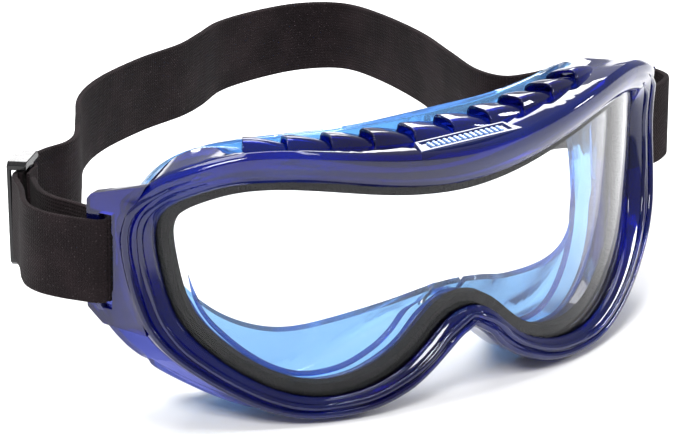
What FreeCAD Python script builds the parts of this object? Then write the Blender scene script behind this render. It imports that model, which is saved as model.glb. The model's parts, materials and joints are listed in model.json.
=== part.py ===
"""Safety goggles: a wrapped double lens in a ribbed frame, with a face skirt and an elastic strap.

The local frame has x across the face, y backwards (0 at the middle of the lens front) and z up.
Every node is moved at the end so that the origin is on the floor, under the middle of the whole object.
Places on the lens are given as s, the distance round the wrap from the middle plane, z, and b,
the height in front of the wrapped surface.
"""
import FreeCAD, Part
import math
import os
from FreeCAD import Placement, Rotation, Vector

doc = FreeCAD.newDocument("safety_goggles")

# ----------------------------------------------------------------------------- driving sizes
SIZES = [
    # lens stack
    ("lens_half_length", 75.7), ("lens_height", 53.3), ("lens_low", -29.4),
    ("wrap_angle", 55.4), ("wrap_share", 0.568),
    ("outer_lens_thick", 1.4), ("inner_lens_thick", 1.0), ("gasket_thick", 3.2), ("gasket_width", 2.7),
    ("lens_seat", 1.5), ("fit_gap", 0.18),
    # front frame
    ("lip_height", 0.9), ("rim_top", 6.8), ("rim_side", 6.6), ("rim_bottom", 4.4),
    ("front_top", 3.0), ("front_side", 4.9), ("front_bottom", 2.0), ("front_crown", 0.9),
    ("rib_depth", 0.7), ("edge_bevel", 0.9), ("rim_depth", 8.6), ("lip_inset", 1.2), ("lip_thick", 2.2),
    ("deck_depth", 15.4), ("deck_height", 26.4), ("deck_wall", 1.8),
    # ears
    ("ear_reach", 15.6), ("ear_thick", 2.6), ("ear_lean", 8.0), ("ear_top", 19.5), ("ear_bottom", -10.5),
    ("slot_start", 9.1), ("slot_width", 3.3), ("slot_margin", 1.4), ("dish_depth", 0.5), ("dish_bulge", 3.6),
    # face skirt
    ("skirt_wall", 1.4), ("flange_bend", 3.2), ("slit_width", 1.2), ("slit_spacing", 9.0),
    # vents
    ("hood_count", 10), ("hood_pitch", 11.2), ("hood_length", 8.6), ("hood_depth", 6.2), ("hood_rise", 2.9),
    ("hood_wall", 0.8), ("hood_back", 11.1), ("vent_length", 6.0), ("vent_width", 3.0),
    # brow plate and small marks
    ("plate_length", 27.0), ("plate_depth", 5.6), ("plate_thick", 1.3), ("plate_field", 0.4),
    ("ridge_count", 14), ("ridge_pitch", 1.5), ("ridge_width", 0.6),
    # strap
    ("strap_width", 20.0), ("strap_thick", 1.4), ("strap_middle", 3.75), ("strap_droop", 2.9),
    ("post_back", 36.5), ("loop_radius", 12.0), ("swing_gap", 0.4),
    # slider
    ("slider_length", 10.4), ("slider_rail", 2.0), ("slider_bar", 1.0), ("slider_mid_bar", 2.6),
    ("slider_gap", 0.3), ("slider_heading", 42.0), ("slider_travel", 5.0), ("sewn_thick", 0.7),
    # placing on the floor
    ("stand_height", 35.04), ("middle_back", 74.65), ("middle_across", 0.9),
]
sheet = doc.addObject("Spreadsheet::Sheet", "sizes")
for row, (alias, value) in enumerate(SIZES, start=1):
    sheet.set("A%d" % row, alias)
    sheet.set("B%d" % row, str(value))
    sheet.setAlias("B%d" % row, alias)
doc.recompute()


def size(alias):
    """A driving size from the sheet."""
    return float(sheet.get(alias))


# ----------------------------------------------------------------------------- the wrap
HALF = size("lens_half_length")
LOW = size("lens_low")
OUTLINE_HALF = 75.7     # the size that the outline points are written for
OUTLINE_HEIGHT = 53.3
OUTLINE_LOW = -29.4
ACROSS = HALF / OUTLINE_HALF
UP = size("lens_height") / OUTLINE_HEIGHT


def heading(s):
    """Angle of the wrap to the x axis, in radians: gentle over the nose, tighter at the temples."""
    share = size("wrap_share")
    ratio = s / HALF
    return math.radians(size("wrap_angle")) * (share * ratio + (1 - share) * ratio ** 3)


def wrap_xy(s, steps=24):
    """Plan position of the wrap at distance s, by Simpson's rule along its heading."""
    step = s / steps
    x = y = 0.0
    for k in range(steps):
        a, m, b = heading(k * step), heading((k + 0.5) * step), heading((k + 1) * step)
        x += step * (math.cos(a) + 4 * math.cos(m) + math.cos(b)) / 6
        y += step * (math.sin(a) + 4 * math.sin(m) + math.sin(b)) / 6
    return x, y


def wrap(s, z, b=0.0):
    """Point at s and z, b in front of the wrapped surface."""
    x, y = wrap_xy(s)
    a = heading(s)
    return Vector(x + b * math.sin(a), y - b * math.cos(a), z)


# outline of the lens opening in the frame, from the brow's middle round the temple to the nose
OUTLINE = [
    (0, 17.8), (8.4, 18.1), (18.9, 19.5), (30, 21.6), (41, 23.4), (50, 23.9), (58.8, 23.2), (65.6, 21.1),
    (71, 18.4), (73.9, 16), (75.7, 12), (75.7, 7), (74.7, 1.7), (73, -4.1), (70.7, -9.5), (66.8, -14.5),
    (61.1, -19.1), (54.3, -23.5), (47.4, -27), (40.4, -29.1), (33.2, -29.4), (25.9, -28.3),
    (18.3, -25.2), (13.1, -21.7), (7.8, -16.6), (0, -13.3),
]


def flat(x, z):
    """An outline point stretched to the lens sizes in the sheet."""
    return Vector(x * ACROSS, LOW + (z - OUTLINE_LOW) * UP, 0)


# where the frame's sections stand, counted along the outline points, closest at the temple corner;
# none stands on the middle plane, which then cuts the lofts cleanly
STATION_STOPS = [0.5, 2, 4, 6, 7, 8, 10, 12, 14, 16, 18, 20, 22, 23.4, 24.5]


def outline_stations():
    """Point, outward direction and share of the way round at each stop of the right half."""
    half = [flat(x, z) for x, z in OUTLINE]
    other = [Vector(-p.x, p.y, 0) for p in reversed(half[1:-1])]
    curve = Part.BSplineCurve()
    curve.interpolate(Points=half + other, PeriodicFlag=True)
    knots = [curve.parameter(point) for point in half]
    whole_way = curve.length(knots[0], knots[-1])
    stations = []
    for stop in STATION_STOPS:
        k = int(stop)
        knot = knots[k] + (knots[k + 1] - knots[k]) * (stop - k)
        tangent = curve.tangent(knot)[0]
        stations.append((curve.value(knot), Vector(-tangent.y, tangent.x, 0).normalize(),
                         curve.length(knots[0], knot) / whole_way))
    return stations


STATIONS = outline_stations()


def section_frame(station):
    """Origin, outward direction and front direction of the cutting plane at a station."""
    point, normal = station[:2]
    a = heading(point.x)
    along = Vector(math.cos(a), math.sin(a), 0)
    front = Vector(math.sin(a), -math.cos(a), 0)
    outward = along * normal.x + Vector(0, 0, 1) * normal.y
    return wrap(point.x, point.y), outward, front


def mirrored(shape):
    return shape.mirror(Vector(0, 0, 0), Vector(1, 0, 0))


def loft_half(wires, reach=150.0):
    """A smooth loft over the right half; two mirrored sections past each end keep it smooth across x = 0."""
    wires = [mirrored(wires[1]), mirrored(wires[0])] + wires + [mirrored(wires[-1]), mirrored(wires[-2])]
    solid = Part.makeLoft(wires, True, False)
    keep = Part.makeBox(reach, 2 * reach, 2 * reach, Vector(0, -reach, -reach))
    return solid.common(keep)


def add_mirrored(name, half_shape):
    """Half shape, its mirror image and their fusion as objects of the document."""
    half = doc.addObject("Part::Feature", name + "_half")
    half.Shape = half_shape
    mirror = doc.addObject("Part::Mirroring", name + "_mirror")
    mirror.Source = half
    mirror.Normal = Vector(1, 0, 0)
    whole = doc.addObject("Part::MultiFuse", name + "_whole")
    whole.Shapes = [half, mirror]
    return whole


def polygon(points):
    return Part.makePolygon(points + [points[0]])


def ring_half(corners):
    """Right half of a ring of constant section round the lens; corners are (outward, front) pairs."""
    wires = []
    for station in STATIONS:
        origin, outward, front = section_frame(station)
        wires.append(polygon([origin + outward * u + front * b for u, b in corners]))
    return loft_half(wires)


# ----------------------------------------------------------------------------- lens stack
OUTER_BACK = -size("outer_lens_thick")
GASKET_BACK = OUTER_BACK - size("gasket_thick")
STACK_BACK = GASKET_BACK - size("inner_lens_thick")


def lens_sheet(front, back):
    """A wall that follows the wrap between two depths, taller and wider than the lens."""
    reach = HALF + 4
    stops = [reach * k / 12 for k in range(-12, 13)]
    sides = []
    for depth in (front, back):
        curve = Part.BSplineCurve()
        curve.interpolate([wrap(s, LOW - 8, depth) for s in stops])
        sides.append(curve)
    first, second = sides
    wire = Part.Wire([
        first.toShape(), Part.makeLine(first.EndPoint, second.EndPoint),
        second.toShape(), Part.makeLine(second.StartPoint, first.StartPoint)])
    return Part.Face(wire).extrude(Vector(0, 0, size("lens_height") + 16))


fence = add_mirrored("lens_fence", ring_half([
    (size("lens_seat") - size("fit_gap"), 6), (size("lens_seat") + 1.5, 6),
    (size("lens_seat") + 1.5, STACK_BACK - 6), (size("lens_seat") - size("fit_gap"), STACK_BACK - 6)]))
doc.recompute()


def add_lens(name, front, back):
    """The part of the lens wall that lies inside the fence."""
    pieces = lens_sheet(front, back).cut(fence.Shape).Solids
    lens = doc.addObject("Part::Feature", name)
    lens.Shape = min(pieces, key=lambda piece: piece.distToShape(Part.Vertex(0, 0, 0))[0])
    return lens


outer_lens = add_lens("outer_lens", 0.0, OUTER_BACK)
inner_lens = add_lens("inner_lens", GASKET_BACK, STACK_BACK)

gasket = add_mirrored("lens_gasket", ring_half([
    (-size("gasket_width"), OUTER_BACK - size("fit_gap")),
    (size("lens_seat") - size("fit_gap"), OUTER_BACK - size("fit_gap")),
    (size("lens_seat") - size("fit_gap"), GASKET_BACK + size("fit_gap")),
    (-size("gasket_width"), GASKET_BACK + size("fit_gap"))]))


# ----------------------------------------------------------------------------- front frame
def blend_step(value, start, end):
    """0 before start, 1 after end, smooth between."""
    share = min(max((value - start) / (end - start), 0.0), 1.0)
    return share * share * (3 - 2 * share)


def rim_sizes(station):
    """Band width, front height, rib depth, rear depth and rear corner of the rim at a station."""
    point, normal = station[:2]
    side = blend_step(abs(point.x) / HALF, 0.72, 0.97)
    top = 1.0 if point.y > LOW + size("lens_height") * 0.55 else 0.0
    middle = 1 - blend_step(abs(point.x) / HALF, 0.0, 0.6)
    width = size("rim_side") * side + (1 - side) * (
        top * (size("rim_top") + 0.9 * middle) + (1 - top) * size("rim_bottom"))
    front = size("front_side") * side + (1 - side) * (
        top * size("front_top") + (1 - top) * size("front_bottom"))
    ribs = size("rib_depth") * (side + (1 - side) * (1 - top) * 0.6)
    deck = top * (1 - blend_step(abs(point.x) / HALF, 0.76, 0.95))
    depth = -(size("rim_depth") + (size("deck_depth") - size("rim_depth")) * deck)
    corner = width + size("edge_bevel")
    level = (size("deck_height") - point.y) / normal.y if deck > 0 else 0.0
    return width, front, ribs, depth, corner + (level - corner) * deck


def rim_section(station):
    """Section of the rim: lens groove, three ribs, outer wall or deck, and the lip behind the lenses."""
    origin, outward, front_way = section_frame(station)
    width, front, ribs, depth, corner = rim_sizes(station)
    lip = size("lip_height")
    gap = size("fit_gap")
    seat = size("lens_seat")
    lip_back = STACK_BACK - gap - size("lip_thick")
    bevel = size("edge_bevel")

    def crown(share):
        return lip + (front - lip) * share + 4 * size("front_crown") * share * (1 - share)

    corners = [(0, gap), (0, lip)]
    for rib in range(3):
        for step, raised in ((0.25, 0.8), (0.75, 0.8), (1, 0)):
            share = (rib + step) / 3
            corners.append((width * share, crown(share) + ribs * raised))
    corners += [
        (width + bevel, front - 1.5 * bevel), (corner, depth), (corner - size("deck_wall"), depth),
        (seat + size("deck_wall"), lip_back), (-size("lip_inset"), lip_back),
        (-size("lip_inset"), STACK_BACK - gap), (seat, STACK_BACK - gap), (seat, gap)]
    return polygon([origin + outward * u + front_way * b for u, b in corners])


rim = add_mirrored("rim", loft_half([rim_section(station) for station in STATIONS]))


def add_box(name, length, width, height, place):
    box = doc.addObject("Part::Box", name)
    box.setExpression("Length", length)
    box.setExpression("Width", width)
    box.setExpression("Height", height)
    box.Placement = place
    return box


def ear_place():
    """Ear frame: x along the ear from the rim's outer edge, y backwards through it, z up."""
    a = math.radians(size("wrap_angle"))
    edge = wrap(HALF, 0, size("front_side")) + Vector(math.cos(a), math.sin(a), 0) * size("rim_side")
    return Placement(edge, Rotation(Vector(0, 0, 1), size("wrap_angle") + size("ear_lean")))


EAR = ear_place()
EAR_STATIONS = slice(5, 9)     # the stations that the ear grows from, brow corner to cheek
SLOT_LOW = size("strap_middle") - size("strap_width") / 2 - size("slot_margin")
SLOT_HIGH = size("strap_middle") + size("strap_width") / 2 + size("slot_margin")


def ear_blank():
    """Ear plate: its inner edge follows the rim, its outer end is the strap post."""
    inner = []
    for station in STATIONS[EAR_STATIONS]:
        origin, outward, front_way = section_frame(station)
        width, front = rim_sizes(station)[:2]
        point = EAR.inverse().multVec(origin + outward * (width - 0.4) + front_way * (front - 1.5))
        inner.append(Vector(max(point.x, -6.5), 0, point.z))
    end = size("ear_reach") - size("rim_side")
    top, bottom = size("ear_top"), size("ear_bottom")
    outer = [Vector(end * 0.55, 0, bottom - 1), Vector(end, 0, bottom + 2.5),
             Vector(end, 0, top - 1.5), Vector(end - 1.2, 0, top)]
    plate = Part.Face(polygon(inner + outer)).extrude(Vector(0, size("ear_thick"), 0))
    corner_edges = [e for e in plate.Edges
                    if e.Length > size("ear_thick") * 0.99 and abs(e.BoundBox.YLength - size("ear_thick")) < 0.01
                    and e.BoundBox.XMin > end * 0.5]
    plate = plate.makeFillet(1.0, corner_edges)
    slot = Part.makeBox(size("slot_width"), 3 * size("ear_thick"), SLOT_HIGH - SLOT_LOW,
                        Vector(size("slot_start") - size("rim_side"), -size("ear_thick"), SLOT_LOW))
    middle = (SLOT_LOW + SLOT_HIGH) / 2
    x_slot = size("slot_start") - size("rim_side") + size("slot_width")
    arc = Part.Arc(Vector(x_slot, 0, SLOT_LOW), Vector(x_slot - size("slot_width") - size("dish_bulge") * 0.5, 0, middle),
                   Vector(x_slot, 0, SLOT_HIGH)).toShape()
    dish = Part.Face(Part.Wire([arc, Part.makeLine(arc.Vertexes[1].Point, arc.Vertexes[0].Point)]))
    dish = dish.extrude(Vector(0, 2 * size("dish_depth"), 0)).translated(Vector(0, -size("dish_depth"), 0))
    return plate.cut(slot).cut(dish)


ear_shape = ear_blank()
ear_shape.Placement = EAR
ears = add_mirrored("ears", ear_shape)
doc.recompute()


def brow_edge(s):
    """Height of the frame's front top edge at s."""
    top = [p for p in (flat(x, z) for x, z in OUTLINE[:8])]
    for left, right in zip(top, top[1:]):
        if abs(s) <= right.x:
            share = (abs(s) - left.x) / (right.x - left.x)
            level = left.y + (right.y - left.y) * share
            return level + size("rim_top") + 0.9 * (1 - blend_step(abs(s) / HALF, 0.0, 0.6))
    return top[-1].y + size("rim_top")


def deck_place(s, back):
    """Frame on the deck at s: x along the brow, y back up the deck's slope, origin back from the front."""
    front_z = brow_edge(s)
    run = size("deck_depth") + 1.4
    pitch = math.atan2(size("deck_height") - front_z, run)
    level = size("deck_height") - (size("deck_depth") - back) * math.tan(pitch)
    turn = Rotation(Vector(0, 0, 1), math.degrees(heading(s)))
    tilt = Rotation(Vector(1, 0, 0), math.degrees(pitch))
    return Placement(wrap(s, level, -back), turn.multiply(tilt))


HOOD_STOPS = [(k - (size("hood_count") - 1) / 2) * size("hood_pitch") for k in range(int(size("hood_count")))]
vents = []
for k, s in enumerate(HOOD_STOPS):
    place = deck_place(s, size("hood_back"))
    corner = place.multiply(Placement(Vector(-size("vent_length") / 2, -size("vent_width") / 2, -6), Rotation()))
    vents.append(add_box("vent_%02d" % (k + 1), "sizes.vent_length", "sizes.vent_width", "12 mm", corner))
vent_cutters = doc.addObject("Part::MultiFuse", "vent_cutters")
vent_cutters.Shapes = vents
frame_blank = doc.addObject("Part::MultiFuse", "frame_blank")
frame_blank.Shapes = [rim, ears]
front_frame = doc.addObject("Part::Cut", "front_frame")
front_frame.Base = frame_blank
front_frame.Tool = vent_cutters
doc.recompute()

# ----------------------------------------------------------------------------- face skirt
# outer edge of the flange on the face, from the middle of the forehead round the temple to the nose
FLANGE_OUTER = [
    (0, 17.5, 30.6), (14, 18.8, 30.3), (27, 21, 29.9), (38, 25, 29.4), (47, 29.4, 28.8), (54, 34.8, 26.2),
    (59.5, 39.2, 21.5), (63.5, 42.3, 15), (66.5, 44.5, 6), (67.8, 45.2, -4), (66.8, 44.5, -13.5),
    (60.5, 41, -22.5), (49, 36.5, -31), (38, 33, -35), (29, 29.5, -33), (21.5, 25, -28),
    (14.5, 19.5, -21.5), (7.5, 15, -17.3), (0, 13.2, -16),
]
# its inner edge, round the eyes
FLANGE_INNER = [
    (0, 20.5, 21), (15, 21.5, 21), (30, 25.5, 20.7), (44, 31.5, 19.3), (53.5, 37, 15.3), (58.3, 40, 8.5),
    (59.3, 39, 1), (55.5, 33, -8), (49.5, 26.5, -13.8), (39.5, 21.5, -17.3), (32, 20.3, -18),
    (25, 18.8, -17.3), (18, 14.0, -14.6), (12, 10.0, -12), (6, 9, -10.8), (0, 9, -10.5),
]


def face_edge(points):
    """Half of a closed smooth edge through the points and their mirror images, stretched with the lens."""
    half = [Vector(x * ACROSS, y * ACROSS, LOW + (z - OUTLINE_LOW) * UP) for x, y, z in points]
    other = [Vector(-p.x, p.y, p.z) for p in reversed(half[1:-1])]
    curve = Part.BSplineCurve()
    curve.interpolate(Points=half + other, PeriodicFlag=True)
    return Part.Edge(curve, curve.FirstParameter, curve.parameter(half[-1]))


def along(edge, share):
    return edge.valueAt(edge.getParameterByLength(edge.Length * share))


def skirt_section(station, outer, inner):
    """Section of the skirt wall, its rolled bend and its flange, in the plane through all three."""
    origin, outward, front_way = section_frame(station)
    depth, corner = rim_sizes(station)[3:]
    root = origin + outward * (corner - size("deck_wall") / 2) + front_way * (depth + 0.3)
    first = (outer - root).normalize()
    toward = inner - outer
    second = Vector(toward - first * toward.dot(first)).normalize()
    half = size("skirt_wall") / 2

    def point(x, y):
        return root + first * x + second * y

    reach = (outer - root).Length
    tip_x, tip_y = (inner - root).dot(first), (inner - root).dot(second)
    leg = math.hypot(tip_x - reach, tip_y)
    turn = math.atan2(tip_y, tip_x - reach)
    cut = min(size("flange_bend"), 0.45 * reach, 0.45 * leg)
    radius = max(cut / math.tan(turn / 2), half * 1.15)
    cut = radius * math.tan(turn / 2)
    flange_x, flange_y = math.cos(turn), math.sin(turn)
    start_x = reach - cut
    sides = []
    for side in (-half, half):
        r = radius - side
        bend = [point(start_x + r * math.sin(turn * k / 2), radius - r * math.cos(turn * k / 2)) for k in range(3)]
        sides.append([point(0, side)] + bend + [point(tip_x - flange_y * side, tip_y + flange_x * side)])
    return polygon(sides[0] + list(reversed(sides[1])))


def skirt_half():
    outer_edge, inner_edge = face_edge(FLANGE_OUTER), face_edge(FLANGE_INNER)
    wires = []
    for station in STATIONS:
        wires.append(skirt_section(station, along(outer_edge, station[2]), along(inner_edge, station[2])))
    return loft_half(wires)


skirt = add_mirrored("skirt", skirt_half())
slits = []
for side in (-1, 1):
    place = Placement(Vector(side * size("slit_spacing") / 2 - size("slit_width") / 2, 4, -16), Rotation())
    slits.append(add_box("nose_slit_%d" % (len(slits) + 1), "sizes.slit_width", "12 mm", "14 mm", place))
slit_cutters = doc.addObject("Part::MultiFuse", "slit_cutters")
slit_cutters.Shapes = slits
face_skirt = doc.addObject("Part::Cut", "face_skirt")
face_skirt.Base = skirt
face_skirt.Tool = slit_cutters
doc.recompute()
# ----------------------------------------------------------------------------- vent hoods


def plane(body, role):
    return next(f for f in body.Origin.OriginFeatures if f.Role == role)


def add_sketch(body, name, role, offset=0.0):
    sketch = body.newObject("Sketcher::SketchObject", name)
    sketch.AttachmentSupport = [(plane(body, role), "")]
    sketch.MapMode = "FlatFace"
    sketch.AttachmentOffset = Placement(Vector(0, 0, offset), Rotation())
    return sketch


def draw(sketch, points):
    """A closed outline of straight lines."""
    for a, b in zip(points, points[1:] + points[:1]):
        sketch.addGeometry(Part.LineSegment(Vector(*a, 0), Vector(*b, 0)), False)


def rectangle(half_x, half_y):
    return [(-half_x, -half_y), (half_x, -half_y), (half_x, half_y), (-half_x, half_y)]


def add_pad(body, name, sketch, length):
    pad = body.newObject("PartDesign::Pad", name)
    pad.Profile = sketch
    pad.setExpression("Length", length)
    return pad


def add_pocket(body, name, sketch, length, reverse=False):
    pocket = body.newObject("PartDesign::Pocket", name)
    pocket.Profile = sketch
    pocket.Reversed = reverse
    pocket.setExpression("Length", length)
    return pocket


def add_hood(index, s):
    """An arch over one vent, open at both ends."""
    name = "vent_hood_%02d" % index
    body = doc.addObject("PartDesign::Body", name)
    arch = add_sketch(body, name + "_arch", "YZ_Plane")
    half, rise, wall = size("hood_depth") / 2, size("hood_rise"), size("hood_wall")
    bevel = rise * 0.35
    draw(arch, [(-half, 0), (-half, rise - bevel), (-half + bevel, rise), (half - bevel, rise),
                (half, rise - bevel), (half, 0), (half - wall, 0), (half - wall, rise - bevel - wall * 0.4),
                (half - bevel - wall * 0.4, rise - wall), (-half + bevel + wall * 0.4, rise - wall),
                (-half + wall, rise - bevel - wall * 0.4), (-half + wall, 0)])
    add_pad(body, name + "_pad", arch, "sizes.hood_length")
    lower = Placement(Vector(-size("hood_length") / 2, 0, -0.3), Rotation())
    body.Placement = deck_place(s, size("hood_back")).multiply(lower)
    return body


hoods = [add_hood(k + 1, s) for k, s in enumerate(HOOD_STOPS)]

# ----------------------------------------------------------------------------- brow plate
PLATE = Placement(Vector(0, 0, 0.5), Rotation()).multiply(deck_place(0, size("plate_depth") / 2 - 0.6))
brow_plate = doc.addObject("PartDesign::Body", "brow_plate")
plate_sketch = add_sketch(brow_plate, "plate_outline", "XY_Plane")
plate_half, plate_deep = size("plate_length") / 2, size("plate_depth") / 2
draw(plate_sketch, [(-plate_half - 1, -plate_deep), (plate_half + 1, -plate_deep),
                    (plate_half - 1, plate_deep), (-plate_half + 1, plate_deep)])
add_pad(brow_plate, "plate_pad", plate_sketch, "sizes.plate_thick + 0.8")
field_sketch = add_sketch(brow_plate, "plate_field", "XY_Plane", size("plate_thick") + 0.8)
draw(field_sketch, rectangle(plate_half - 1.6, plate_deep - 0.9))
add_pocket(brow_plate, "plate_pocket", field_sketch, "sizes.plate_field")
brow_plate.Placement = PLATE.multiply(Placement(Vector(0, 0, -0.8), Rotation()))

ridge_boxes = []
for k in range(int(size("ridge_count"))):
    x = (k - (size("ridge_count") - 1) / 2) * size("ridge_pitch") - size("ridge_width") / 2
    base = Placement(Vector(x, -size("plate_depth") * 0.22, size("plate_thick") - size("plate_field")), Rotation())
    ridge_boxes.append(add_box("ridge_%02d" % (k + 1), "sizes.ridge_width", "sizes.plate_depth * 0.44",
                               "sizes.plate_field", PLATE.multiply(base)))
brow_ridges = doc.addObject("Part::Compound", "brow_ridges")
brow_ridges.Links = ridge_boxes
doc.recompute()

# ----------------------------------------------------------------------------- strap
# plan of the strap's middle line, from the wearer's right ear round the back of the head to the left ear
LOOP_BEND = [(79.2, 33.9), (77.2, 33.0), (75.35, 34.3), (74.5, 37.3)]
LEFT_OUTER = [(-81.0, 36.9), (-83.5, 41.8), (-85.4, 47.6), (-85.4, 53.2), (-83.5, 58.4), (-80.0, 64.8)]
BACK = [(-59.4, 86.0), (-53.2, 87.4), (-47.6, 92.0), (-39.5, 104.0), (-30.5, 117.0), (-18.7, 126.7), (-2.2, 134.1),
        (12.4, 138.0), (21.5, 142.7), (32.1, 149.2), (45.8, 151.6), (58.1, 150.4), (66.8, 143.5),
        (68.3, 129.7), (66.0, 109.2), (61.1, 90.5), (56.9, 74.5), (58.4, 64.6), (65.5, 61.8),
        (74.8, 62.2), (82.0, 59.2)]
RIGHT_OUTER = [(86.4, 53.5), (87.2, 46.5), (86.6, 40.5), (83.6, 36.1)]
INNER = [(75.0, 42.0), (76.2, 48.6)]
HEADING = math.radians(size("slider_heading"))
SLIDER_SPOT = Vector(-71.9, 77.4, 0)


def slider_point(run, side=0.0):
    """Plan point at a run along the slider and to its front."""
    c, v = math.cos(HEADING), math.sin(HEADING)
    return (SLIDER_SPOT.x + run * c + side * v, SLIDER_SPOT.y + run * v - side * c)


STRAIGHT = [slider_point(run) for run in (-size("slider_length") / 2 - 1, -2, 2, size("slider_length") / 2,
                                          size("slider_length") / 2 + size("slider_travel"))]


def arc_pieces(start, start_way, end, end_way):
    """Two arcs that join two points with the given ways of travel, each as (start, way, end)."""
    chord, ways = end - start, start_way + end_way
    a, b, c = 2 * (start_way.dot(end_way) - 1), -2 * chord.dot(ways), chord.dot(chord)
    reach = c / -b if abs(a) < 1e-6 else (-b - math.sqrt(b * b - 4 * a * c)) / (2 * a)
    joint = (start + end + (start_way - end_way) * reach) / 2
    first = joint - start
    middle_way = (first * (2 * first.dot(start_way) / first.dot(first)) - start_way).normalize()
    return [(start, start_way, joint), (joint, middle_way, end)]


def left_of(way):
    return Vector(-way.y, way.x, 0).normalize()


def offset_arc(piece, side):
    """Edge at a distance to the left of an arc given by its start, its way there and its end."""
    start, way, end = piece
    chord = end - start
    turn = math.atan2(chord.x * way.y - chord.y * way.x, chord.dot(way))
    end_way = (chord * (2 * chord.dot(way) / chord.dot(chord)) - way).normalize()
    first, last = start + left_of(way) * side, end + left_of(end_way) * side
    middle = (start + end) / 2 + left_of(chord) * (chord.Length / 2 * math.tan(turn / 2) + side)
    if abs(turn) < 1e-3:
        return Part.makeLine(first, last)
    return Part.Arc(first, middle, last).toShape()


def ribbon(points, thick, width):
    """A band on edge along a smooth plan line of arcs, its middle at height 0."""
    line = Part.BSplineCurve()
    line.interpolate([Vector(x, y, 0) for x, y in points])
    stops = [line.parameter(Vector(x, y, 0)) for x, y in points]
    spots = [(line.value(t), line.tangent(t)[0]) for t in stops]
    pieces = []
    for (start, start_way), (end, end_way) in zip(spots, spots[1:]):
        pieces += arc_pieces(start, start_way, end, end_way)
    near = [offset_arc(piece, -thick / 2) for piece in pieces]
    far = [offset_arc(piece, thick / 2) for piece in pieces]
    ends = []
    for spot, way in (spots[0], spots[-1]):
        out = left_of(way) * (thick / 2)
        ends.append(Part.makeLine(spot - out, spot + out))
    wire = Part.Wire(Part.__sortEdges__(near + far + ends))
    wire.translate(Vector(0, 0, -width / 2))
    return Part.Face(wire).extrude(Vector(0, 0, width))


PIVOT = Vector(0, size("post_back"), size("strap_middle"))
DROOP = Rotation(Vector(1, 0, 0), -size("strap_droop"))
STRAP = Placement(PIVOT, DROOP).multiply(Placement(Vector(0, -size("post_back"), 0), Rotation()))


def pivot_barrel(radius):
    """Barrel about the line through both strap posts, on which the strap swings."""
    return Part.makeCylinder(radius, 240, PIVOT + Vector(-120, 0, 0), Vector(1, 0, 0))


def add_feature(name, shape):
    feature = doc.addObject("Part::Feature", name)
    feature.Shape = shape
    return feature


def webbing(points, thick=None, width=None):
    """Webbing in its place; its shape carries the strap's droop."""
    solid = ribbon(points, thick or size("strap_thick"), width or size("strap_width"))
    solid.Placement = STRAP
    return solid


def flip(points):
    return [(-x, y) for x, y in points]


fixed_barrel = pivot_barrel(size("loop_radius"))
moving_barrel = pivot_barrel(size("loop_radius") + size("swing_gap"))
left_loop = list(reversed(LEFT_OUTER[:3])) + flip(LOOP_BEND + INNER)
right_loop = RIGHT_OUTER + LOOP_BEND + INNER
strap_loop_left = add_feature("strap_loop_left", webbing(left_loop).common(fixed_barrel))
strap_loop_right = add_feature("strap_loop_right", webbing(right_loop).common(fixed_barrel))
main_line = flip(LOOP_BEND[:1]) + LEFT_OUTER + STRAIGHT + BACK + RIGHT_OUTER + LOOP_BEND[:1]
strap_band = add_feature("strap_band", max(webbing(main_line).cut(moving_barrel).Solids, key=lambda s: s.Volume))
left_return = flip(INNER) + [(-77.6, 54.5), (-77.4, 60.5), (-75.2, 66.5),
                             slider_point(-size("slider_length") / 2 - 1.4, 2.3)]
strap_return_left = add_feature("strap_return_left", webbing(left_return).cut(moving_barrel).Solids[0])
right_return = INNER + [(75.6, 54.0), (72.2, 58.3), (66.4, 59.4)]
strap_return_right = add_feature("strap_return_right", webbing(right_return).cut(moving_barrel).Solids[0])

# ----------------------------------------------------------------------------- slider
slider = doc.addObject("PartDesign::Body", "slider")
half_long, half_tall = size("slider_length") / 2, size("strap_width") / 2 + 0.6 + size("slider_rail")
bar = size("slider_bar")
BACK_FACE = -size("strap_thick") / 2 - size("slider_gap") - bar
SEWN_NEAR = size("strap_thick") / 2 + size("slider_gap")
BAR_NEAR = SEWN_NEAR + size("sewn_thick") + 0.05
slider_outline = add_sketch(slider, "slider_outline", "XY_Plane", BACK_FACE)
corner = 0.8
draw(slider_outline, [(-half_long, -half_tall + corner), (-half_long + corner, -half_tall),
                      (half_long - corner, -half_tall), (half_long, -half_tall + corner),
                      (half_long, half_tall - corner), (half_long - corner, half_tall),
                      (-half_long + corner, half_tall), (-half_long, half_tall - corner)])
slider_pad = add_pad(slider, "slider_pad", slider_outline, "%f mm" % (BAR_NEAR + bar - BACK_FACE))
window = add_sketch(slider, "slider_window", "XY_Plane", BAR_NEAR + bar)
draw(window, rectangle(half_long - bar, half_tall - size("slider_rail")))
add_pocket(slider, "window_pocket", window, "%f mm" % (BAR_NEAR + bar - BACK_FACE + 1))
channel = add_sketch(slider, "slider_channel", "XY_Plane", BAR_NEAR + bar)
draw(channel, rectangle(half_long + 1, half_tall - size("slider_rail")))
add_pocket(slider, "channel_pocket", channel, "%f mm" % (BAR_NEAR + bar - BACK_FACE - bar))
bar_sketch = add_sketch(slider, "middle_bar", "XY_Plane", BAR_NEAR)
draw(bar_sketch, rectangle(size("slider_mid_bar") / 2, half_tall - size("slider_rail") / 2))
slider_bar = add_pad(slider, "middle_bar_pad", bar_sketch, "sizes.slider_bar")
slider.Tip = slider_bar
# slider frame: x along the strap, y up, z to the front
SLIDER = STRAP.multiply(Placement(SLIDER_SPOT, Rotation(Vector(0, 0, 1), math.degrees(HEADING)))).multiply(
    Placement(Vector(), Rotation(Vector(1, 0, 0), 90)))
slider.Placement = SLIDER

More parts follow.
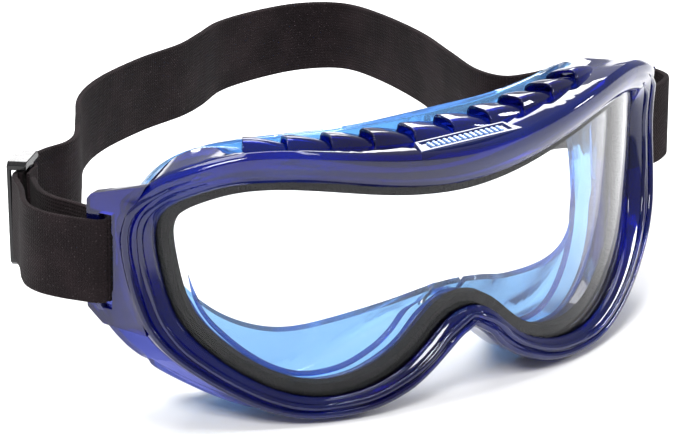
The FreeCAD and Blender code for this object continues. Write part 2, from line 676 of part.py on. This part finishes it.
far = BAR_NEAR + bar + 0.05 + size("sewn_thick") / 2
near = SEWN_NEAR + size("sewn_thick") / 2
bend = size("slider_mid_bar") / 2
sewn_line = [(-5.2, near), (-3.4, near), (-1.6, near), (bend + 0.3, near), (bend + 1.3, (near + far) / 2),
             (bend + 0.3, far), (-1.6, far), (-3.4, far), (-5.2, far)]
sewn = ribbon([slider_point(run, side) for run, side in sewn_line], size("sewn_thick"), size("strap_width"))
sewn.Placement = STRAP
strap_sewn_end = add_feature("strap_sewn_end", sewn)


def add_bar_tack(name, place, rows=5):
    """A group of short raised stitches across the webbing."""
    boxes = []
    for k in range(rows):
        spot = Placement(Vector(-0.25, 0, (k - (rows - 1) / 2) * 3.6 - 1.2), Rotation())
        stitch = doc.addObject("Part::Box", "%s_%d" % (name, k + 1))
        stitch.Length, stitch.Width, stitch.Height = 0.5, 0.3, 2.4
        stitch.Placement = place.multiply(spot)
        boxes.append(stitch)
    group = doc.addObject("Part::Compound", name)
    group.Links = boxes
    return group


tack_left_xy = slider_point(-3.8, far + size("sewn_thick") / 2 + 0.35)
bar_tack_left = add_bar_tack("bar_tack_left", STRAP.multiply(
    Placement(Vector(*tack_left_xy, 0), Rotation(Vector(0, 0, 1), math.degrees(HEADING)))))

NODES = [front_frame, face_skirt, outer_lens, inner_lens, gasket, brow_plate, brow_ridges] + hoods + [
    strap_loop_left, strap_loop_right, strap_band, strap_return_left, strap_return_right,
    slider, strap_sewn_end, bar_tack_left]
NAMES = {gasket.Name: "lens_gasket"}
FLOOR = Placement(Vector(-size("middle_across"), -size("middle_back"), size("stand_height")), Rotation())
doc.recompute()
for node in NODES:
    node.Placement = FLOOR.multiply(node.Placement)
doc.recompute()

for item in doc.Objects:
    if "Invalid" in item.State or "Error" in item.State:
        raise RuntimeError("%s did not rebuild: %s" % (item.Name, item.State))
os.makedirs("parts", exist_ok=True)
whole = FreeCAD.BoundBox()
for node in NODES:
    name = NAMES.get(node.Name, node.Name)
    node.Label = name
    shape = node.Shape
    if shape.isNull() or not shape.isValid():
        raise RuntimeError("%s is not a valid shape" % name)
    whole.add(shape.optimalBoundingBox())
    shape.exportStep(os.path.join("parts", name + ".step"))
    print("%-20s %2d solids %8.1f mm3" % (name, len(shape.Solids), shape.Volume))
print("whole object", whole)
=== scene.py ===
"""Safety goggles standing on a pale studio floor: translucent ribbed frame, pale face skirt, double
lens in a dark foam gasket, and a knitted elastic strap with a slider.

Lengths are metres. Places written in millimetres use the maker's frame: x across the face, y back from
the middle of the lens front, z up from the middle of the lens.
"""

import json
import math

import bmesh
import bpy
from mathutils import Matrix, Vector
from mathutils.bvhtree import BVHTree


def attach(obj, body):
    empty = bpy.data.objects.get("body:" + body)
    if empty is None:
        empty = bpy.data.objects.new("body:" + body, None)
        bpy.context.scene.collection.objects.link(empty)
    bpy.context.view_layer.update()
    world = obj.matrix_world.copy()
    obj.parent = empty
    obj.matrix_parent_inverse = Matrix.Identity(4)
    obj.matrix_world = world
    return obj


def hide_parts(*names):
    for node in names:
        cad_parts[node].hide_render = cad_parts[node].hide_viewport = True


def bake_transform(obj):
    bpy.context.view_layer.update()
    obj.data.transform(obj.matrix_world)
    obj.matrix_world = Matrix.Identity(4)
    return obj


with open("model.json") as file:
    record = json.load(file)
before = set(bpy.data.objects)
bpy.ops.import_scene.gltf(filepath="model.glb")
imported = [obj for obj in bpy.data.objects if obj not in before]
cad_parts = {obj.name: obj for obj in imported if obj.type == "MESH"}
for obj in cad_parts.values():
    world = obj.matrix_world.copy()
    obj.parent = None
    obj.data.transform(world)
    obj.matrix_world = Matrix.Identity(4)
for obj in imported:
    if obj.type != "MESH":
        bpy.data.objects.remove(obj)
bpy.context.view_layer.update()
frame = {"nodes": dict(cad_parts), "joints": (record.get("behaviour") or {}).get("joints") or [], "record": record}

MM = 0.001
BODIES = frame["record"]["behaviour"]["bodies"]
BODY_OF = {node: body for body, nodes in BODIES.items() for node in nodes}
JOINT = {joint["name"]: joint for joint in frame["joints"]}

# the strap swings about a line 36.5 mm back and 3.75 mm up in the maker's frame
POST_BACK, STRAP_MIDDLE = 36.5, 3.75
PIVOT = Vector(JOINT["strap_tilt"]["pos_m"])
MAKER = PIVOT - Vector((0, POST_BACK, STRAP_MIDDLE)) * MM
DROOP = math.radians(2.9)

# the lens's wrap, as in the CAD: half its length in mm, the angle in degrees at its end, and the share
# of that angle which grows evenly
WRAP_HALF, WRAP_ANGLE, WRAP_SHARE, WRAP_STEPS = 75.7, 55.4, 0.568, 40
# webbing, in mm, and the plan direction in which its upper edge leans
WEBBING_WIDTH, WEBBING_THICK, WEBBING_STEP, WEBBING_ROWS = 20.0, 1.4, 1.2, 6
LEAN_ACROSS, LEAN_BACK = 0.58, 0.81
# width of one knitted cord and length of one stitch, in metres
CORD_PITCH, STITCH_PITCH = 0.00085, 0.00075
# vent hoods, in mm; front, back and deck back are distances behind the lens, and fall is the share of
# its height that a hood loses from end to end
HOOD_COUNT, HOOD_PITCH, HOOD_LONG, HOOD_RISE, HOOD_WALL = 10, 11.2, 10.9, 2.9, 0.8
HOOD_FRONT, HOOD_BACK, HOOD_TAPER, HOOD_SUNK, DECK_BACK = 6.4, 14.9, 0.5, 0.35, 14.4
HOOD_FALL, HOOD_STEPS, HOOD_RIBS = 0.62, 12, 14
# side webs, in mm
WEB_WALL, WEB_BULGE, WEB_STEPS, WEB_ROWS = 1.4, 1.2, 40, 6
# rim width at the bottom of the opening, what its sides have more, and how far in front of the lens
# the rays start, in mm; then the number of sides of a bead's section
RIM_BOTTOM, RIM_SIDE_MORE, CAST_FROM, BEAD_SIDES = 4.4, 2.2, 12.0, 10


def spot(x, y, z=0.0):
    """A place in the maker's frame, in the row frame."""
    return MAKER + Vector((x, y, z)) * MM


# ----------------------------------------------------------------------------- finishes
class Signal:
    """A shader socket that takes part in sums, differences and products."""

    def __init__(self, finish, socket):
        self.finish, self.socket = finish, socket

    def maths(self, operation, *others):
        return self.finish.node("ShaderNodeMath", {"operation": operation},
                                dict(enumerate((self, *others))))

    def __add__(self, other):
        return self.maths("ADD", other)

    def __sub__(self, other):
        return self.maths("SUBTRACT", other)

    def __mul__(self, other):
        return self.maths("MULTIPLY", other)

    def __rsub__(self, other):
        return (self * -1) + other

    __radd__, __rmul__ = __add__, __mul__

    def between(self, low, high):
        """0 below low, 1 above high, smooth between."""
        return self.finish.node("ShaderNodeMapRange", {"interpolation_type": "SMOOTHSTEP"},
                                {"Value": self, "From Min": low, "From Max": high}, "Result")


class Finish:
    """A material built from expressions."""

    def __init__(self, name):
        self.material = bpy.data.materials.new(name)
        self.material.use_nodes = True
        self.tree = self.material.node_tree
        self.tree.nodes.clear()
        self.output = self.tree.nodes.new("ShaderNodeOutputMaterial")

    def node(self, kind, settings=None, inputs=None, out=0):
        """A node with its settings and its sockets' values or links, as the signal of one output."""
        made = self.tree.nodes.new(kind)
        for name, value in (settings or {}).items():
            setattr(made, name, value)
        for name, value in (inputs or {}).items():
            if isinstance(value, Signal):
                self.tree.links.new(value.socket, made.inputs[name])
            else:
                made.inputs[name].default_value = value
        return Signal(self, made.outputs[out])

    def place(self):
        """Object coordinates, in metres."""
        return self.node("ShaderNodeTexCoord", out="Object")

    def along(self):
        """The piece's own map: metres along it and across it."""
        return self.node("ShaderNodeUVMap", {"uv_map": "run"})

    def part(self, vector, axis):
        return self.node("ShaderNodeSeparateXYZ", inputs={"Vector": vector}, out=axis)

    def noise(self, vector, scale, detail=2.0, roughness=0.5):
        return self.node("ShaderNodeTexNoise", inputs={
            "Vector": vector, "Scale": scale, "Detail": detail, "Roughness": roughness})

    def mixed(self, mask, first, second):
        return self.node("ShaderNodeMix", {"data_type": "RGBA"}, {0: mask, 6: first, 7: second}, 2)

    def bump(self, height, distance):
        return self.node("ShaderNodeBump", inputs={
            "Height": height, "Distance": distance, "Strength": 1.0}, out="Normal")

    def coat(self, sockets):
        """The Principled surface, wired to the output."""
        surface = self.node("ShaderNodeBsdfPrincipled", inputs=sockets)
        self.tree.links.new(surface.socket, self.output.inputs["Surface"])
        return self

    def absorb(self, colour, density):
        """Tint that deepens with the length of the way through the piece."""
        volume = self.node("ShaderNodeVolumeAbsorption", inputs={"Color": colour, "Density": density})
        self.tree.links.new(volume.socket, self.output.inputs["Volume"])
        return self


def cobalt_plastic(name, dark, light, density):
    finish = Finish(name)
    cloud = finish.noise(finish.place(), 30, 1.0)
    return finish.coat({
        "Base Color": finish.mixed(cloud.between(0.35, 0.75), dark, light),
        "Roughness": 0.05, "IOR": 1.45, "Transmission Weight": 0.80, "Coat Weight": 0.2,
        "Coat Roughness": 0.02}).absorb((0.04, 0.16, 0.86, 1), density)


def soft_skin(name, colour, density):
    finish = Finish(name)
    return finish.coat({
        "Base Color": colour, "Roughness": 0.10, "IOR": 1.40, "Transmission Weight": 0.86,
        "Coat Weight": 0.12, "Coat Roughness": 0.04}).absorb((0.12, 0.50, 0.93, 1), density)


def clear_lens():
    finish = Finish("clear_lens")
    return finish.coat({"Base Color": (0.985, 0.992, 1.0, 1), "Roughness": 0.0, "IOR": 1.24,
                        "Transmission Weight": 1.0})


def foam():
    finish = Finish("foam")
    grain = finish.noise(finish.place(), 1400, 3.0, 0.6)
    return finish.coat({
        "Base Color": finish.mixed(grain.between(0.50, 0.80), (0.003, 0.003, 0.004, 1),
                                   (0.016, 0.016, 0.018, 1)),
        "Roughness": 0.75, "Specular IOR Level": 0.12, "Normal": finish.bump(grain, 0.0003)})


def knit():
    """Knitted elastic: fine cords along the webbing with short cross ribs and pale flecks."""
    finish = Finish("knit")
    run = finish.along()
    u, v = finish.part(run, "X"), finish.part(run, "Y")
    wander = finish.noise(finish.place(), 420, 2.0)
    cords = (v * (2 * math.pi / CORD_PITCH)).maths("SINE")
    stitches = (u * (2 * math.pi / STITCH_PITCH) + cords * 1.4 + wander * 3.0).maths("SINE")
    flecks = finish.noise(finish.place(), 2300, 2.0, 0.7)
    light = flecks.between(0.60, 0.72) * stitches.between(-0.2, 0.9)
    body = finish.mixed(finish.noise(finish.place(), 90, 3.0).between(0.35, 0.7),
                        (0.0100, 0.0070, 0.0080, 1), (0.0175, 0.0120, 0.0135, 1))
    colour = finish.mixed(light * 0.5, body, (0.13, 0.105, 0.11, 1))
    height = cords * 0.35 + stitches * 0.4 + flecks * 0.6
    return finish.coat({"Base Color": colour, "Roughness": 0.9, "Specular IOR Level": 0.08,
                        "Sheen Weight": 0.03, "Sheen Roughness": 0.4,
                        "Normal": finish.bump(height, 0.00018)})


def black_gloss():
    finish = Finish("black_gloss")
    wear = finish.noise(finish.place(), 600, 3.0)
    return finish.coat({"Base Color": (0.004, 0.004, 0.005, 1), "Roughness": wear * 0.12 + 0.16,
                        "Specular IOR Level": 0.35, "Coat Weight": 0.15, "Coat Roughness": 0.08})


def deep_field():
    finish = Finish("deep_field")
    return finish.coat({"Base Color": (0.012, 0.02, 0.10, 1), "Roughness": 0.12, "Coat Weight": 0.5,
                        "Coat Roughness": 0.05})


def thread():
    finish = Finish("thread")
    return finish.coat({"Base Color": (0.012, 0.010, 0.011, 1), "Roughness": 0.8})


def studio_floor():
    finish = Finish("studio_floor")
    return finish.coat({"Base Color": (0.93, 0.93, 0.94, 1), "Roughness": 0.7})


def pale_ridge():
    finish = Finish("pale_ridge")
    return finish.coat({"Base Color": (0.28, 0.47, 0.86, 1), "Roughness": 0.2, "Coat Weight": 0.3})


COBALT = cobalt_plastic("cobalt_plastic", (0.008, 0.009, 0.14, 1), (0.010, 0.040, 0.40, 1), 420.0)
THIN = cobalt_plastic("thin_cobalt", (0.13, 0.15, 0.50, 1), (0.16, 0.22, 0.66, 1), 160.0)
SKIN = soft_skin("pale_skin", (0.34, 0.66, 0.95, 1), 190.0)
# a darker copy of the pale skin, painted shade for the skirt's rolls
SHADED_SKIN = soft_skin("shaded_skin", (0.05, 0.16, 0.55, 1), 300.0)
LENS, FOAM = clear_lens(), foam()
KNIT, BLACK, FIELD, THREAD, FLOOR = knit(), black_gloss(), deep_field(), thread(), studio_floor()
RIDGE = pale_ridge()


# ----------------------------------------------------------------------------- shaping
def finished(name, form, finish):
    """An object from a bmesh, with its finish."""
    mesh = bpy.data.meshes.new(name)
    form.to_mesh(mesh)
    form.free()
    mesh.materials.append(finish.material)
    piece = bpy.data.objects.new(name, mesh)
    bpy.context.scene.collection.objects.link(piece)
    return piece


def soften(form, angle):
    """Smooth shading with sharp edges where faces meet at more than an angle in degrees."""
    form.normal_update()
    limit = math.radians(angle)
    for face in form.faces:
        face.smooth = True
    for edge in form.edges:
        edge.smooth = len(edge.link_faces) == 2 and edge.calc_face_angle(0.0) < limit


def add_bevel(piece, width, angle=30):
    bevel = piece.modifiers.new("rounding", "BEVEL")
    bevel.width, bevel.segments, bevel.limit_method = width, 2, "ANGLE"
    bevel.angle_limit = math.radians(angle)
    bevel.harden_normals = True


def from_cad(node, finish, angle, bevel=0.0):
    """The CAD node's own form, joined up and shaded smooth, standing in its place."""
    form = bmesh.new()
    form.from_mesh(frame["nodes"][node].data)
    bmesh.ops.remove_doubles(form, verts=form.verts, dist=1e-6)
    soften(form, angle)
    piece = finished(node + "_look", form, finish)
    if bevel:
        add_bevel(piece, bevel)
    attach(piece, BODY_OF[node])
    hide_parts(node)


def smooth_route(points, spacing):
    """Points along a smooth line through given points, with any further values they carry."""
    padded = [points[0]] + points + [points[-1]]
    path = []
    for before, here, there, after in zip(padded, padded[1:], padded[2:], padded[3:]):
        count = max(2, round(math.dist(here[:2], there[:2]) / spacing))
        for k in range(count):
            t = k / count
            path.append(tuple(
                0.5 * (2 * b + (c - a) * t + (2 * a - 5 * b + 4 * c - d) * t * t
                       + (3 * b - a - 3 * c + d) * t ** 3)
                for a, b, c, d in zip(before, here, there, after)))
    path.append(tuple(points[-1]))
    return path


def thicken(piece, thickness):
    """Walls of a thickness in millimetres, half on each side."""
    wall = piece.modifiers.new("thickness", "SOLIDIFY")
    wall.thickness, wall.offset = thickness * MM, 0.0


def webbing(name, route):
    """Flat webbing on edge along a route of (x, y, lean in degrees), drooping from the swing line."""
    path = smooth_route(route, WEBBING_STEP)
    form = bmesh.new()
    uv = form.loops.layers.uv.new("run")
    runs, run = {}, 0.0
    for step, (x, y, lean) in enumerate(path):
        middle = STRAP_MIDDLE - (y - POST_BACK) * math.tan(DROOP)
        tilt = math.radians(lean)
        row = []
        for k in range(WEBBING_ROWS + 1):
            up = WEBBING_WIDTH * (k / WEBBING_ROWS - 0.5)
            offset = up * math.sin(tilt)
            row.append(spot(x - LEAN_ACROSS * offset, y - LEAN_BACK * offset,
                            middle + up * math.cos(tilt)))
        if step == 0:
            verts = [form.verts.new(row[0])]
            for place in row[1:]:
                made = bmesh.ops.extrude_vert_indiv(form, verts=[verts[-1]])
                verts.append(made["verts"][0])
                verts[-1].co = place
            edges = [form.edges.get(pair) for pair in zip(verts, verts[1:])]
        else:
            run += math.dist(path[step][:2], path[step - 1][:2]) * MM
            made = bmesh.ops.extrude_edge_only(form, edges=edges)["geom"]
            fresh = [item for item in made if isinstance(item, bmesh.types.BMVert)]
            verts = sorted(fresh, key=lambda vert: vert.co.z)
            for vert, place in zip(verts, row):
                vert.co = place
            edges = [form.edges.get(pair) for pair in zip(verts, verts[1:])]
        for k, vert in enumerate(verts):
            runs[vert] = (run, WEBBING_WIDTH * MM * k / WEBBING_ROWS)
    for face in form.faces:
        face.smooth = True
        for loop in face.loops:
            loop[uv].uv = runs[loop.vert]
    bmesh.ops.recalc_face_normals(form, faces=form.faces)
    piece = finished(name, form, KNIT)
    thicken(piece, WEBBING_THICK)
    add_bevel(piece, 0.35 * MM, 60)
    return piece


def heading(s):
    """Angle of the wrap at a distance round it from the middle, in millimetres and radians."""
    ratio = s / WRAP_HALF
    return math.radians(WRAP_ANGLE) * (WRAP_SHARE * ratio + (1 - WRAP_SHARE) * ratio ** 3)


def wrap(s, behind, z):
    """A place on the wrap, behind its surface, in the row frame."""
    x = y = 0.0
    step = s / WRAP_STEPS
    for k in range(WRAP_STEPS):
        angle = heading((k + 0.5) * step)
        x, y = x + step * math.cos(angle), y + step * math.sin(angle)
    angle = heading(s)
    return spot(x - behind * math.sin(angle), y + behind * math.cos(angle), z)


def surface_of(node):
    """The CAD node's surface, for casting rays on."""
    form = bmesh.new()
    form.from_mesh(frame["nodes"][node].data)
    tree = BVHTree.FromBMesh(form)
    form.free()
    return tree


DECK = surface_of("front_frame")


def deck_height(s, behind):
    """Height of the deck under a place on the wrap, in the row frame."""
    place = wrap(s, behind, 60.0)
    hit = DECK.ray_cast(place, Vector((0, 0, -1)))[0]
    return hit.z


def sheet(name, rows, thickness, finish, width):
    """A shell over rows of places; thickness and rounding width in millimetres."""
    form = bmesh.new()
    made = [form.verts.new(place) for place in rows[0]]
    edges = [form.edges.new(pair) for pair in zip(made, made[1:])]
    for row in rows[1:]:
        fresh = bmesh.ops.extrude_edge_only(form, edges=edges)["geom"]
        partner = {}
        for vert in (item for item in fresh if isinstance(item, bmesh.types.BMVert)):
            for edge in vert.link_edges:
                other = edge.other_vert(vert)
                if other in made:
                    partner[other] = vert
        made = [partner[vert] for vert in made]
        for vert, place in zip(made, row):
            vert.co = place
        edges = [form.edges.get(pair) for pair in zip(made, made[1:])]
    for face in form.faces:
        face.smooth = True
    bmesh.ops.recalc_face_normals(form, faces=form.faces)
    piece = finished(name, form, finish)
    thicken(piece, thickness)
    add_bevel(piece, width * MM, 50)
    return piece


def vent_hood(number, s):
    """A gill over a vent: high and open at its left end, running down to the deck at the other."""
    rows = []
    for k in range(HOOD_STEPS + 1):
        along = k / HOOD_STEPS
        place = s - HOOD_LONG / 2 + HOOD_LONG * along
        high = HOOD_RISE * (1 - HOOD_FALL * along ** 1.7)
        front = HOOD_FRONT + HOOD_TAPER * along
        low_front, low_back = deck_height(place, front), deck_height(place, DECK_BACK)
        row = []
        for j in range(HOOD_RIBS + 1):
            over = j / HOOD_RIBS
            arch = (1 - abs(2 * over - 1) ** 4.5) ** 0.5
            point = wrap(place, front + (HOOD_BACK - front) * over, 0)
            point.z = low_front + (low_back - low_front) * over + (high * arch - HOOD_SUNK) * MM
            row.append(point)
        rows.append(row)
    piece = sheet("vent_hood_%02d_shell" % number, rows, HOOD_WALL, COBALT, 0.2)
    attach(piece, "goggles")
    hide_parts("vent_hood_%02d" % number)


def at_share(path, share):
    """The place at a share of a path of points."""
    place = share * (len(path) - 1)
    low = min(int(place), len(path) - 2)
    return [a + (b - a) * (place - low) for a, b in zip(path[low], path[low + 1])]


WEB_OUTER = [(79.3, 35.2, -3.5), (78.3, 34.6, -7.8), (75.8, 32.8, -12.5), (73.0, 30.8, -16.4),
             (69.8, 29.0, -19.7), (66.6, 28.2, -22.6), (62.9, 26.4, -25.1), (58.1, 21.9, -27.9),
             (53.7, 18.3, -29.9), (47.9, 14.6, -31.7), (41.6, 11.6, -33.1)]
WEB_INNER = [(70.8, 38.0, 0.0), (70.2, 36.8, -5.0), (68.9, 34.2, -10.0), (67.4, 31.6, -14.0),
             (64.9, 28.2, -17.6), (62.3, 25.2, -20.4), (59.5, 22.7, -22.8), (54.2, 17.8, -26.0),
             (49.4, 14.6, -28.4), (44.4, 11.9, -30.2), (40.1, 10.1, -32.0)]


def side_web(name, side):
    """The frame's thin outer wall below the ear, swept down behind the rim to the lobe's bottom."""
    outer, inner = smooth_route(WEB_OUTER, 2.0), smooth_route(WEB_INNER, 2.0)
    rows = []
    for k in range(WEB_STEPS + 1):
        a, b = at_share(outer, k / WEB_STEPS), at_share(inner, k / WEB_STEPS)
        row = []
        for j in range(WEB_ROWS + 1):
            share = j / WEB_ROWS
            bulge = WEB_BULGE * math.sin(math.pi * share)
            x, y, z = (start + (end - start) * share for start, end in zip(a, b))
            row.append(spot(side * (x + bulge * 0.6), y, z - bulge))
        rows.append(row)
    piece = sheet(name, rows, WEB_WALL, THIN, 0.3)
    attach(piece, "goggles")


# edge of the lens opening as (distance round the wrap, height) in mm, from the temple to the nose
OPENING = [(69.0, 19.7), (71, 18.4), (73.9, 16), (75.7, 12), (75.7, 7), (74.7, 1.7), (73, -4.1),
           (70.7, -9.5), (66.8, -14.5), (61.1, -19.1), (54.3, -23.5), (47.4, -27), (40.4, -29.1),
           (33.2, -29.4), (25.9, -28.3), (18.3, -25.2), (13.1, -21.7), (7.8, -16.6), (0, -13.3)]
LOWER_EDGE = smooth_route([(-s, z) for s, z in OPENING] + OPENING[-2::-1], 1.6)


def bead(name, radius, finish, aside=0.0, behind=0.0, share=0.0):
    """A round bead along the opening, in mm: aside of its lower edge and behind the lens surface,
    or at a share of the rim's width and standing on the rim's front."""
    rows = []
    edge = LOWER_EDGE if share else [place for place in LOWER_EDGE if place[1] < -3]
    for k, (s, z) in enumerate(edge):
        ahead, before = edge[min(k + 1, len(edge) - 1)], edge[max(k - 1, 0)]
        run, climb = ahead[0] - before[0], ahead[1] - before[1]
        length = math.hypot(run, climb)
        out_s, out_z = climb / length, -run / length
        ends = min(1.0, 0.15 + min(k, len(edge) - 1 - k) / 5)
        width = RIM_BOTTOM + RIM_SIDE_MORE * abs(out_s)
        away = aside + share * width
        depth = behind
        if share:
            start = wrap(s + out_s * away, -CAST_FROM, z + out_z * away)
            inwards = wrap(s + out_s * away, 0.0, z + out_z * away) - start
            hit = DECK.ray_cast(start, inwards.normalized())[0]
            depth = (hit - start).length / MM - CAST_FROM if hit else depth
        thick = radius * ends
        rows.append([wrap(s + out_s * (away + thick * math.cos(turn)), depth + thick * math.sin(turn),
                          z + out_z * (away + thick * math.cos(turn)))
                     for turn in (2 * math.pi * side / BEAD_SIDES for side in range(BEAD_SIDES))])
    form = bmesh.new()
    rings = [[form.verts.new(place) for place in row] for row in rows]
    for ring, after in zip(rings, rings[1:]):
        for side in range(BEAD_SIDES):
            other = (side + 1) % BEAD_SIDES
            form.faces.new((ring[side], ring[other], after[other], after[side]))
    form.faces.new(rings[0])
    form.faces.new(rings[-1])
    bmesh.ops.recalc_face_normals(form, faces=form.faces)
    for face in form.faces:
        face.smooth = len(face.verts) == 4
    piece = finished(name, form, finish)
    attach(piece, "goggles")


# ----------------------------------------------------------------------------- goggles
from_cad("front_frame", COBALT, 50)
from_cad("face_skirt", SKIN, 60)
from_cad("outer_lens", LENS, 30)
from_cad("inner_lens", LENS, 30)
from_cad("lens_gasket", FOAM, 30)
from_cad("brow_plate", FIELD, 30, 0.25 * MM)
from_cad("brow_ridges", RIDGE, 30)
for k in range(HOOD_COUNT):
    vent_hood(k + 1, (k - (HOOD_COUNT - 1) / 2) * HOOD_PITCH)
side_web("side_web_left", -1)
side_web("side_web_right", 1)
bead("rim_rib_inner", 0.75, COBALT, share=0.36)
bead("rim_rib_outer", 0.85, COBALT, share=0.74)
# the skirt's rolls take the darker copy of the skin: painted shade
bead("skirt_roll_front", 1.2, SHADED_SKIN, aside=-0.4, behind=8.5)
bead("skirt_roll_back", 0.7, SHADED_SKIN, aside=-0.6, behind=13.5)
from_cad("slider", BLACK, 30, 0.3 * MM)
from_cad("bar_tack_left", THREAD, 30)


# ----------------------------------------------------------------------------- strap
# the strap's routes from the ears, as (x, y, lean in degrees) in mm
LOOP = [(79.2, 33.9, 0), (77.2, 33.0, 0), (75.35, 34.3, 0), (74.5, 37.3, 0)]
LEFT_OUTER = [(-81.0, 36.9, 0), (-83.5, 41.8, 0), (-85.4, 47.6, 0), (-85.4, 53.2, 0), (-83.5, 58.4, 0),
              (-80.0, 64.8, 0)]
SLIDER_RUN = [(-76.5, 73.25, 0), (-73.4, 76.06, 0), (-70.4, 78.74, 0), (-68.0, 80.9, 0),
              (-66.2, 82.52, 0), (-65.2, 83.42, 0), (-64.3, 84.23, 0)]
BACK = [(-59.4, 86.0, 0), (-53.2, 87.4, 2), (-47.6, 92.0, 4), (-39.5, 104.0, 6), (-30.5, 117.0, 7),
        (-18.7, 126.7, 7), (-2.2, 134.1, 7), (12.4, 138.0, 7), (21.5, 142.7, 6), (32.1, 149.2, 10),
        (45.8, 151.6, 12), (58.1, 150.4, 14), (66.8, 143.5, 16), (68.3, 129.7, 15), (66.0, 109.2, 12),
        (61.1, 90.5, 9), (56.9, 74.5, 5), (58.4, 64.6, 3), (65.5, 61.8, 0), (74.8, 62.2, 0),
        (82.0, 59.2, 0)]
RIGHT_OUTER = [(87.6, 54.2, 0), (90.2, 47.0, 0), (89.4, 40.0, 0), (84.6, 36.0, 0)]


def flip(route):
    """The same route on the other side."""
    return [(-x, y, lean) for x, y, lean in route]


band = webbing("strap_band_knit",
               flip(LOOP[:2])[::-1] + LEFT_OUTER + SLIDER_RUN + BACK + RIGHT_OUTER + LOOP[:2])
left_inner = webbing("strap_return_left_knit", flip(LOOP[1:]) + [
    (-75.0, 42.0, 0), (-76.2, 48.6, 0), (-77.6, 54.5, 0), (-77.4, 60.5, 0), (-75.2, 66.5, 0),
    (-73.6, 70.0, 0)])
right_inner = webbing("strap_return_right_knit", LOOP[1:] + [
    (75.0, 42.0, 0), (76.2, 48.6, 0), (75.6, 54.0, 0), (72.2, 58.3, 0), (66.4, 59.4, 0)])
for piece, nodes in ((band, ("strap_band", "strap_loop_left", "strap_loop_right")),
                     (left_inner, ("strap_return_left",)), (right_inner, ("strap_return_right",))):
    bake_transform(piece)
    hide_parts(*nodes)
from_cad("strap_sewn_end", KNIT, 40)


# ----------------------------------------------------------------------------- studio
def studio():
    """White floor, pale air and four square panels; places and sizes in metres, power in watts."""
    floor_form = bmesh.new()
    bmesh.ops.create_grid(floor_form, x_segments=1, y_segments=1, size=6.0)
    floor = finished("floor", floor_form, FLOOR)
    world = bpy.data.worlds.new("studio_air")
    world.use_nodes = True
    air = world.node_tree.nodes["Background"].inputs
    air["Color"].default_value, air["Strength"].default_value = (1, 1, 1, 1), 0.42
    scene = bpy.context.scene
    scene.world = world
    scene.view_settings.view_transform = "Standard"
    for name, place, size, power in (
            ("key_panel", (-0.60, -0.55, 0.80), 0.35, 9.0),
            ("top_panel", (0.05, 0.20, 1.00), 0.80, 14.0),
            ("back_panel", (0.62, 0.88, 0.46), 0.40, 3.0),
            ("side_panel", (0.75, -0.45, 0.40), 0.15, 2.5)):
        lamp = bpy.data.lights.new(name, "AREA")
        lamp.shape, lamp.size, lamp.energy = "SQUARE", size, power
        light = bpy.data.objects.new(name, lamp)
        light.location = place
        aim = Vector((0, 0, 0.03)) - Vector(place)
        light.rotation_euler = aim.to_track_quat("-Z", "Y").to_euler()
        scene.collection.objects.link(light)


def camera():
    """Long lens from the front left, a little above."""
    azimuth, elevation, roll = math.radians(-35.5), math.radians(21.0), math.radians(0.5)
    back = Vector((math.sin(azimuth) * math.cos(elevation), -math.cos(azimuth) * math.cos(elevation),
                   math.sin(elevation)))
    right = Vector((math.cos(azimuth), math.sin(azimuth), 0))
    up = back.cross(right)
    right, up = (right * math.cos(roll) + up * math.sin(roll),
                 up * math.cos(roll) - right * math.sin(roll))
    lens = bpy.data.cameras.new("camera")
    lens.sensor_width, lens.lens = 36.0, 267.6
    lens.clip_start, lens.clip_end = 0.05, 20.0
    eye = bpy.data.objects.new("camera", lens)
    eye.matrix_world = Matrix.Translation(spot(-36.49, 0, 16.2) + back * 1.130) @ Matrix(
        (right, up, back)).transposed().to_4x4()
    bpy.context.scene.collection.objects.link(eye)
    bpy.context.scene.camera = eye


studio()
camera()
